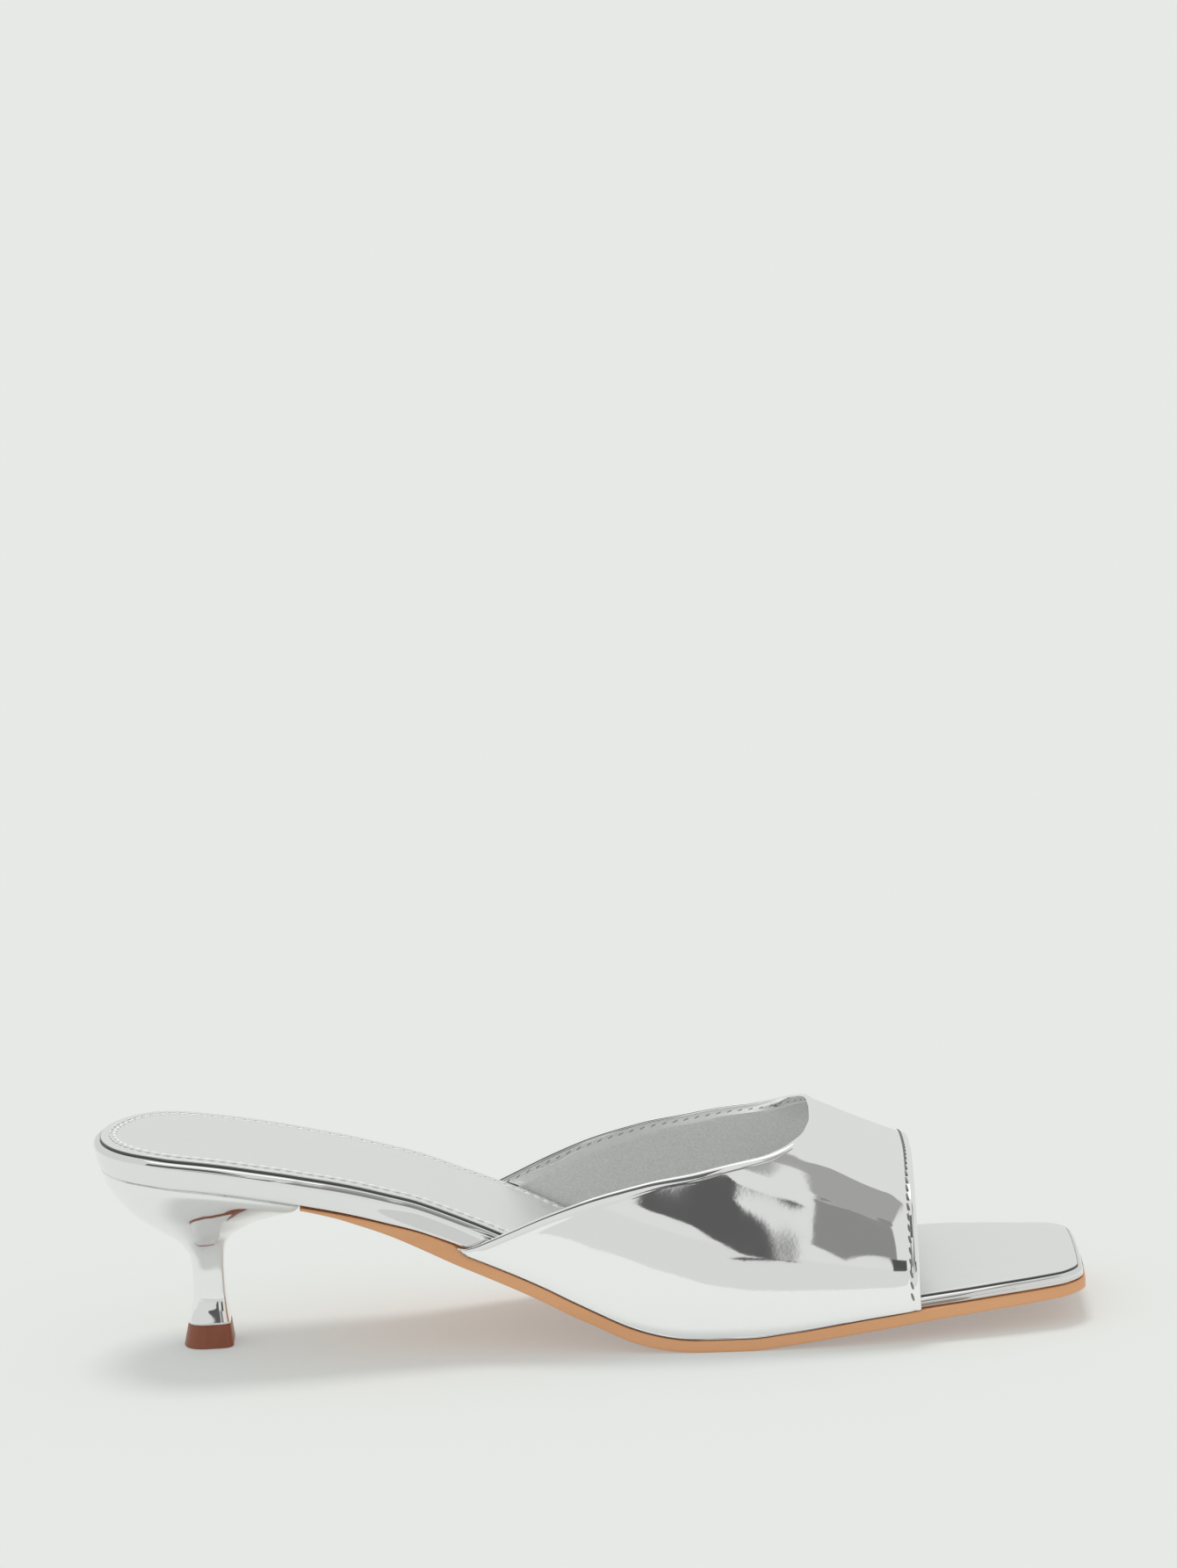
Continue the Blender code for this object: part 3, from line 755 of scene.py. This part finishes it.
def make_sock_seam(thread, faint):
    """The sock's border seam and the fainter one outside it, which both end under the vamp."""
    loop = outline_curve()
    for name, inset, finish, radius in (
        ("sock_stitches", SOCK_SEAM, thread, SOCK_STITCH_RADIUS),
        ("sock_second_stitches", SOCK_SEAM - SOCK_SEAM_GAP, faint, SOCK_SECOND_RADIUS),
    ):
        plan = spread(loop, inset)
        lift = float(sock_rise(inset)) + SOCK_STITCH_LIFT
        path = np.concatenate([plan, (sock_top(plan[:, 0]) + lift)[:, None]], -1)
        places, tangents = evenly(np.concatenate([path, path[:1]]), SOCK_STITCH_PITCH)
        sewn = places[:, 0] < to_x(LAST_SOCK_STITCH)
        places, tangents = places[sewn], tangents[sewn]
        slope = (sock_top(places[:, 0] + 0.0005) - sock_top(places[:, 0] - 0.0005)) / 0.001
        normals = np.stack([-slope, 0 * slope, 0 * slope + 1], -1)
        stitch_row(name, places, tangents, normals, finish,
                   SOCK_STITCH_LENGTH, radius)


def sew_upper(name, points, normals, finish, length, radius):
    """A row of stitches along a path of points, each turned to its nearest point's normal."""
    places, tangents = evenly(points, STITCH_PITCH, 0.002)
    nearest = np.array([np.linalg.norm(points - p, axis=1).argmin() for p in places])
    stitch_row(name, places, tangents, normals[nearest], finish, length, radius,
               STITCH_SLANT)


def make_upper_seams(thread, fine):
    """The seam along the front edge, and the finer one inside the topline."""
    rise = np.linspace(0.03, 1.97, 900)
    x = front_x(rise) - SEAM_INSET
    normal = upper_normal(x, rise)
    depth = -SEAM_DEPTH * SEAM_STITCH_DEPTH - front_bend(rise) * SEAM_BEND_SHARE
    sew_upper("front_stitches", upper_point(x, rise) + normal * depth[:, None], normal, thread,
              STITCH_LENGTH, STITCH_RADIUS)
    top = upper_point(topline_x(rise), rise)
    normal = upper_normal(topline_x(rise), rise)
    into = np.cross(unit(np.gradient(top, axis=0)), normal)
    into *= np.sign((into * [1, 0, 0]).sum(-1, keepdims=True) + (into[:, 2:] < 0) * 0.5)
    inside = top + into * INNER_SEAM_INSET - normal * (WALL - LINING + INNER_SEAM_LIFT)
    sew_upper("topline_inner_stitches", inside, -normal, fine,
              INNER_STITCH_LENGTH, INNER_STITCH_RADIUS)


def stem_outline(count):
    """The stem's section from its rear to its flat front: forward and sideways shares."""
    turn = np.radians(np.linspace(0, 153, count))
    power = np.where(turn < math.pi / 2, STEM_REAR_POWER, STEM_FRONT_POWER)
    forward = -np.sign(np.cos(turn)) * np.abs(np.cos(turn)) ** (2 / power)
    sideways = np.sin(turn) ** (2 / power)
    return np.where(forward > 0, forward / forward[-1], forward), sideways


def make_heel(finish):
    """A cup under the seat that sweeps in to a slim stem with a flat front."""
    count, levels = STEM_POINTS, 120
    grow = -BOARD_LEAN
    centre = to_x(STEM_PLACE)
    reach = HEEL_CENTRE * LENGTH + grow
    round_x = to_x(HEEL_CENTRE) - reach * np.cos(np.linspace(0, math.pi / 2, 40))
    x = np.concatenate([round_x, np.linspace(round_x[-1], to_x(HEEL_BREAST), count - 39)[1:]])
    halves = {-1: plan_half(x, 1, grow), 1: plan_half(x, 2, grow)}
    forward, sideways = stem_outline(count)
    rear_reach, front_reach = centre - x[0], x[-1] - centre
    foot = TOP_PIECE_HEIGHT + GAP * 0.3
    rear_drop, front_drop = seat_height(x[0]) - foot, seat_height(x[-1]) - foot
    away = (x - centre) / np.where(x < centre, rear_reach, front_reach)
    rings = []
    for level in np.linspace(0, 1, levels):
        form = [float(smooth(HEEL_FORM, level, column)) for column in range(1, 8)]
        rear, front, width, stem_share, rear_z, front_z, roundness = form
        along = away * (1 - roundness) + forward * roundness
        cup = np.where(along < 0, rear_reach * rear, front_reach * front)
        reach_here = cup + STEM_DEPTH / 2 * stem_share
        place = centre - STEM_RAKE * max(0.0, stem_share - 1) + along * reach_here
        straight = foot + rear_drop + (front_drop - rear_drop) * (away + 1) / 2
        low, high = rear_drop * rear_z, front_drop * front_z
        z = foot + low + (high - low) * (along + 1) / 2
        z = z + (seat_height(x) - straight) * (1 - roundness)
        sides = []
        for sign, half in halves.items():
            full = half.max()
            share = half / full * (1 - roundness) + sideways * roundness
            y = sign * share * (full * width + STEM_WIDTH / 2 * stem_share)
            sides.append(np.stack([place, y, z], -1))
        rings.append(np.concatenate([sides[0], sides[1][::-1]]))
    points = np.stack(rings)
    piece = add_mesh("heel_plated", points, capped_faces(*points.shape[:2]), finish)
    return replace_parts(piece, "heel")


def make_top_piece(finish):
    """The rubber tip under the stem, wider at the floor, with softened edges."""
    foot_share = HEEL_FORM[-1][4]
    forward, sideways = stem_outline(STEM_POINTS)
    rings = []
    rows = [(TOP_PIECE_HEIGHT, TOP_PIECE_UNDER), (TOP_PIECE_HEIGHT, TOP_PIECE_RIM),
            (TOP_PIECE_HEIGHT - TOP_PIECE_RIM, 0.0)]
    rows += [(z, 0.0) for z in np.linspace(TOP_PIECE_HEIGHT - 0.0006, 0.0009, 10)]
    rows += [(TOP_PIECE_EDGE * (1 - math.sin(a)), TOP_PIECE_EDGE * (1 - math.cos(a)))
             for a in np.linspace(0, math.pi / 2, 6)]
    for z, inset in rows:
        share = foot_share + TOP_PIECE_FLARE * (1 - z / TOP_PIECE_HEIGHT)
        centre = to_x(STEM_PLACE) - STEM_RAKE * (share - 1)
        x = centre + forward * (STEM_DEPTH / 2 * share - inset)
        y = sideways * (STEM_WIDTH / 2 * share - inset)
        near = np.stack([x, -y, 0 * x + z], -1)
        far = np.stack([x, y, 0 * x + z], -1)
        rings.append(np.concatenate([near, far[::-1]]))
    points = np.stack(rings)
    piece = add_mesh("heel_tip", points, capped_faces(*points.shape[:2]), finish)
    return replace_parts(piece, "top_piece")


# Where noise starts and ends to matter in a look: most of its values lie between these
NOISE_RANGE = (0.3, 0.7)


class Look:
    """A Principled material whose nodes are added one by one."""

    def __init__(self, name, colour, roughness, metallic=0.0):
        self.material = bpy.data.materials.new(name)
        self.material.use_nodes = True
        self.nodes = self.material.node_tree.nodes
        self.links = self.material.node_tree.links
        self.shader = self.nodes["Principled BSDF"]
        self.set("Base Color", (*colour, 1.0))
        self.set("Roughness", roughness)
        self.set("Metallic", metallic)
        self.coordinates = self.nodes.new("ShaderNodeTexCoord").outputs["Object"]

    def set(self, socket, value):
        self.shader.inputs[socket].default_value = value

    def stretched(self, scale):
        mapping = self.nodes.new("ShaderNodeMapping")
        mapping.inputs["Scale"].default_value = scale
        self.links.new(self.coordinates, mapping.inputs["Vector"])
        return mapping.outputs["Vector"]

    def noise(self, scale, detail, stretch=(1, 1, 1)):
        node = self.nodes.new("ShaderNodeTexNoise")
        node.inputs["Scale"].default_value = scale
        node.inputs["Detail"].default_value = detail
        node.inputs["Roughness"].default_value = 0.5
        self.links.new(self.stretched(stretch), node.inputs["Vector"])
        return node.outputs["Fac"]

    def vary_roughness(self, value, low, high):
        node = self.nodes.new("ShaderNodeMapRange")
        node.inputs["From Min"].default_value, node.inputs["From Max"].default_value = NOISE_RANGE
        node.inputs["To Min"].default_value, node.inputs["To Max"].default_value = low, high
        self.links.new(value, node.inputs["Value"])
        self.links.new(node.outputs["Result"], self.shader.inputs["Roughness"])

    def vary_colour(self, value, first, second):
        ramp = self.nodes.new("ShaderNodeValToRGB")
        for stop, place, colour in zip(ramp.color_ramp.elements, NOISE_RANGE, (first, second)):
            stop.position = place
            stop.color = (*colour, 1)
        self.links.new(value, ramp.inputs["Fac"])
        self.links.new(ramp.outputs["Color"], self.shader.inputs["Base Color"])

    def bump(self, value, depth):
        node = self.nodes.new("ShaderNodeBump")
        node.inputs["Distance"].default_value = depth
        node.inputs["Strength"].default_value = 1.0
        self.links.new(value, node.inputs["Height"])
        earlier = self.shader.inputs["Normal"].links
        if earlier:
            self.links.new(earlier[0].from_socket, node.inputs["Normal"])
        self.links.new(node.outputs["Normal"], self.shader.inputs["Normal"])


def mirror_leather(name, shade):
    look = Look(name, (shade, shade, shade), 0.04, 1.0)
    look.vary_roughness(look.noise(160, 2), 0.03, 0.055)
    look.bump(look.noise(70, 2), 0.000015)
    look.bump(look.noise(1100, 2), 0.000002)
    return look.material


def sock_leather():
    look = Look("sock_leather", (0.93, 0.935, 0.925), 0.36, 0.9)
    look.vary_roughness(look.noise(120, 3, (1, 3, 1)), 0.32, 0.42)
    look.bump(look.noise(1400, 2), 0.00002)
    return look.material


def lining_leather():
    look = Look("lining_leather", (0.85, 0.855, 0.845), 0.5, 0.5)
    look.vary_colour(look.noise(2200, 2), (0.78, 0.785, 0.775), (0.92, 0.925, 0.915))
    look.bump(look.noise(1800, 3), 0.00006)
    return look.material


def tan_leather():
    look = Look("tan_leather", (0.78, 0.40, 0.20), 0.50)
    look.set("Specular IOR Level", 0.3)
    look.vary_colour(look.noise(60, 4, (0.15, 1, 1.6)), (0.74, 0.375, 0.18), (0.84, 0.44, 0.225))
    look.bump(look.noise(700, 3, (0.3, 1, 1)), 0.00003)
    return look.material


# Near black for the ring round the sock's side: painted shade of the gap between the sock and the
# lip
def painted_gap_shade():
    look = Look("painted_gap_shade", (0.09, 0.09, 0.09), 0.4)
    look.bump(look.noise(900, 2), 0.00002)
    return look.material


def plated_plastic():
    look = Look("plated_plastic", (0.92, 0.92, 0.92), 0.05, 1.0)
    look.bump(look.noise(40, 1), 0.00004)
    return look.material


def brown_rubber():
    look = Look("brown_rubber", (0.28, 0.08, 0.038), 0.38)
    look.vary_colour(look.noise(300, 3, (1, 1, 0.08)), (0.25, 0.068, 0.030), (0.32, 0.095, 0.046))
    look.bump(look.noise(900, 2, (1, 1, 0.1)), 0.00002)
    return look.material


def thread(name, colour, metallic=0.0):
    look = Look(name, colour, 0.4, metallic)
    look.bump(look.noise(2500, 2), 0.00003)
    return look.material


def make_camera():
    camera = bpy.data.objects.new("camera", bpy.data.cameras.new("camera"))
    camera.location = CAMERA_PLACE
    camera.rotation_euler = Euler([math.radians(a) for a in CAMERA_TURN])
    camera.data.lens = FOCAL_LENGTH
    camera.data.clip_end = 60
    bpy.context.scene.collection.objects.link(camera)
    bpy.context.scene.camera = camera


def soft_rim(corners, widths):
    """The corners of a card in (x, z), moved out by a width each, for its blurred border."""
    flat = np.array(corners)
    following = np.roll(flat, -1, 0)
    ahead, behind = unit(following - flat), unit(flat - np.roll(flat, 1, 0))
    out = unit(np.stack([ahead[:, 1] + behind[:, 1], -ahead[:, 0] - behind[:, 0]], -1))
    turned = np.sign(np.sum(flat[:, 0] * following[:, 1] - flat[:, 1] * following[:, 0]))
    return flat + out * turned * np.array(widths)[:, None]


def glowing(name, brightness):
    """A material that only glows, and its glow's node."""
    look = bpy.data.materials.new(name)
    look.use_nodes = True
    nodes, links = look.node_tree.nodes, look.node_tree.links
    nodes.clear()
    glow = nodes.new("ShaderNodeEmission")
    glow.inputs["Color"].default_value = (*brightness, 1)
    links.new(glow.outputs["Emission"], nodes.new("ShaderNodeOutputMaterial").inputs["Surface"])
    return look, glow


def stage_card(name, points, faces, look):
    """Adds a card that only mirrors see."""
    card = add_mesh(name, points, faces, look, body=None)
    for sees in ("camera", "diffuse", "transmission", "volume_scatter", "shadow"):
        setattr(card, "visible_" + sees, False)
    return card


def upright(corners, distance):
    return [(x, -distance, z) for x, z in corners]


def laid_flat(corners, height):
    return [(x, y, height) for x, y in corners]


def make_card(name, points, brightness):
    stage_card(name, points, [tuple(range(len(points)))], glowing(name, brightness)[0])


def make_soft_card(name, distance, corners, widths, brightness):
    """A dark upright card whose border fades into the sky over the given widths."""
    make_card(name, upright(corners, distance), brightness)
    count = len(corners)
    points = upright([*corners, *soft_rim(corners, widths)], distance + BORDER_STEP)
    look, glow = glowing(name + "_border", brightness)
    nodes, links = look.node_tree.nodes, look.node_tree.links
    fade = nodes.new("ShaderNodeAttribute")
    fade.attribute_name = "fade"
    mix = nodes.new("ShaderNodeMixRGB")
    mix.inputs["Color1"].default_value = (*brightness, 1)
    mix.inputs["Color2"].default_value = (*SKY, 1)
    links.new(fade.outputs["Fac"], mix.inputs["Fac"])
    links.new(mix.outputs["Color"], glow.inputs["Color"])
    faces = grid_faces(2, count, wrap_columns=True)
    border = stage_card(name + "_border", points, faces, look)
    levels = border.data.attributes.new("fade", "FLOAT", "POINT")
    levels.data.foreach_set("value", [0.0] * count + [1.0] * count)


# Upright cards about a metre in front of the shoe: their corners as (x, z) in metres, the widths
# of their blurred borders, how far off they stand, and how bright they are
ARROW_CARD = [(-0.195, 0.110), (-0.145, 0.213), (-0.070, 0.355), (0.040, 0.525), (0.155, 0.66),
              (0.150, 0.58), (0.055, 0.377), (-0.008, 0.055), (-0.018, -0.040), (-0.026, -0.045),
              (-0.055, -0.006), (-0.089, 0.038), (-0.153, 0.089)]
SIDE_CARD = [(0.110, 0.36), (0.29, 0.82), (0.32, 0.85), (0.50, 0.85), (0.431, 0.740),
             (0.321, 0.260), (0.285, 0.021), (0.230, 0.015), (0.226, 0.165), (0.137, 0.074),
             (0.05, 0.150)]
HIGH_SIDE_CARD = [(0.32, 0.85), (0.34, 0.97), (0.68, 1.80), (1.2, 3.6), (3.4, 6.6), (2.4, 3.6),
                  (0.50, 0.85)]
EDGE_CARD = [(0.222, 0.0), (0.62, 0.0), (0.62, 0.13), (0.226, 0.13)]
CEILING_CARD = [(-1.7, 0.62), (0.02, 0.62), (0.06, 1.0), (0.12, 1.75), (-1.7, 1.75)]
ARROW_BLUR = (0.01, 0.01, 0.01, 0.015, 0.015, 0.012, 0.010, 0.015, 0.005, 0.005, 0.005, 0.005,
              0.005)
SIDE_BLUR = (0.004, 0.006, 0.01, 0.01, 0.02, 0.02, 0.005, 0.005, 0.02, 0.03, 0.010)
HIGH_BLUR = (0.01, 0.02, 0.06, 0.5, 1.6, 0.3, 0.02)
BORDER_STEP = 0.002
EDGE_DISTANCE, ARROW_DISTANCE, SIDE_DISTANCE, HIGH_DISTANCE = 0.99, 1.0, 1.004, 1.010
CEILING_DISTANCE = 1.05
EDGE_SHADE = (0.08, 0.08, 0.08)
ARROW_SHADE = (0.10, 0.10, 0.10)
SIDE_SHADE = (0.25, 0.25, 0.245)
HIGH_SHADE = (0.35, 0.35, 0.345)
CEILING_SHADE = (0.12, 0.12, 0.12)

# Level cards, their corners as (x, y) in metres: the foot of the arrow-shaped card, a bright one
# overhead, and the far end of the bright table, which the vamp mirrors low down
ARROW_FOOT = [(-0.030, -1.0), (0.0, -1.0), (-0.004, -0.42), (-0.014, -0.40), (-0.022, -0.62)]
OVERHEAD_CARD = [(-0.55, -0.15), (0.28, -0.15), (0.28, 0.30), (-0.55, 0.30)]
TABLE_EDGE = [(-0.60, -0.200), (-0.061, -0.195), (-0.043, -0.18), (0.005, -0.131), (0.027, -0.120),
              (0.064, -0.119), (0.096, -0.124), (0.60, -0.14)]
TABLE_ENDS = [(6.0, -11.5), (-6.0, -11.5)]
FOOT_HEIGHT, TABLE_HEIGHT, OVERHEAD_HEIGHT = 0.0015, 0.001, 1.1
OVERHEAD_SHADE = (1.3, 1.3, 1.29)
TABLE_SHADE = (0.665, 0.675, 0.66)
FLOOR_SIZE = 12.0


def make_studio():
    world = bpy.data.worlds.new("studio")
    bpy.context.scene.world = world
    world.use_nodes = True
    sky = world.node_tree.nodes["Background"]
    sky.inputs["Color"].default_value = (*SKY, 1)
    sky.inputs["Strength"].default_value = 1.0
    floor_look = Look("floor", FLOOR_COLOUR, 0.9)
    floor_look.set("Specular IOR Level", 0.0)
    floor_look.set("Emission Color", (*FLOOR_GLOW, 1))
    floor_look.set("Emission Strength", 1.0)
    corners = [(x * FLOOR_SIZE, y * FLOOR_SIZE, 0) for x, y in ((-1, -1), (1, -1), (1, 1), (-1, 1))]
    add_mesh("floor", corners, [(0, 1, 2, 3)], floor_look.material, body=None)
    lamp = bpy.data.objects.new("lamp", bpy.data.lights.new("lamp", "SUN"))
    lamp.data.energy = LAMP_STRENGTH
    lamp.data.angle = math.radians(LAMP_SPREAD)
    lamp.rotation_euler = Vector(LAMP_FROM).to_track_quat("Z", "Y").to_euler()
    lamp.visible_glossy = False
    bpy.context.scene.collection.objects.link(lamp)
    make_soft_card("dark_card", ARROW_DISTANCE, ARROW_CARD, ARROW_BLUR, ARROW_SHADE)
    make_card("arrow_foot_card", laid_flat(ARROW_FOOT, FOOT_HEIGHT), ARROW_SHADE)
    make_soft_card("side_card", SIDE_DISTANCE, SIDE_CARD, SIDE_BLUR, SIDE_SHADE)
    make_soft_card("high_side_card", HIGH_DISTANCE, HIGH_SIDE_CARD, HIGH_BLUR, HIGH_SHADE)
    make_card("edge_card", upright(EDGE_CARD, EDGE_DISTANCE), EDGE_SHADE)
    make_card("ceiling_card", upright(CEILING_CARD, CEILING_DISTANCE), CEILING_SHADE)
    make_card("overhead_card", laid_flat(OVERHEAD_CARD, OVERHEAD_HEIGHT), OVERHEAD_SHADE)
    make_card("table_card", laid_flat(TABLE_EDGE + TABLE_ENDS, TABLE_HEIGHT), TABLE_SHADE)
    bpy.context.scene.view_settings.view_transform = "Standard"


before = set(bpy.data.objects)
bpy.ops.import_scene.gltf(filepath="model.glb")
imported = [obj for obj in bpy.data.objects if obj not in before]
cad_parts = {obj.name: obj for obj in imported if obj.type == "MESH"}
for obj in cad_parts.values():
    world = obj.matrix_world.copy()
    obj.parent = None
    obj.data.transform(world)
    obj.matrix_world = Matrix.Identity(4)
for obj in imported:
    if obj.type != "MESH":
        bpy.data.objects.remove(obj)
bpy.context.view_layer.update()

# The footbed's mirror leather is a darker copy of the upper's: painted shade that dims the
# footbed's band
make_footbed(mirror_leather("footbed_leather_painted_shade", 0.87))
# The sock's side gets a ring of painted shade for its gap under the lip
make_sock(sock_leather(), painted_gap_shade())
make_outsole(tan_leather())
make_upper(mirror_leather("mirror_leather", 0.99), lining_leather())
make_heel(plated_plastic())
make_top_piece(brown_rubber())
make_sock_seam(thread("sock_thread", (0.98, 0.98, 0.975)),
               thread("faint_thread", (0.86, 0.86, 0.85)))
make_upper_seams(thread("upper_thread", (0.26, 0.26, 0.255), 0.6),
                 thread("topline_thread", (0.40, 0.40, 0.395), 0.5))
make_camera()
make_studio()
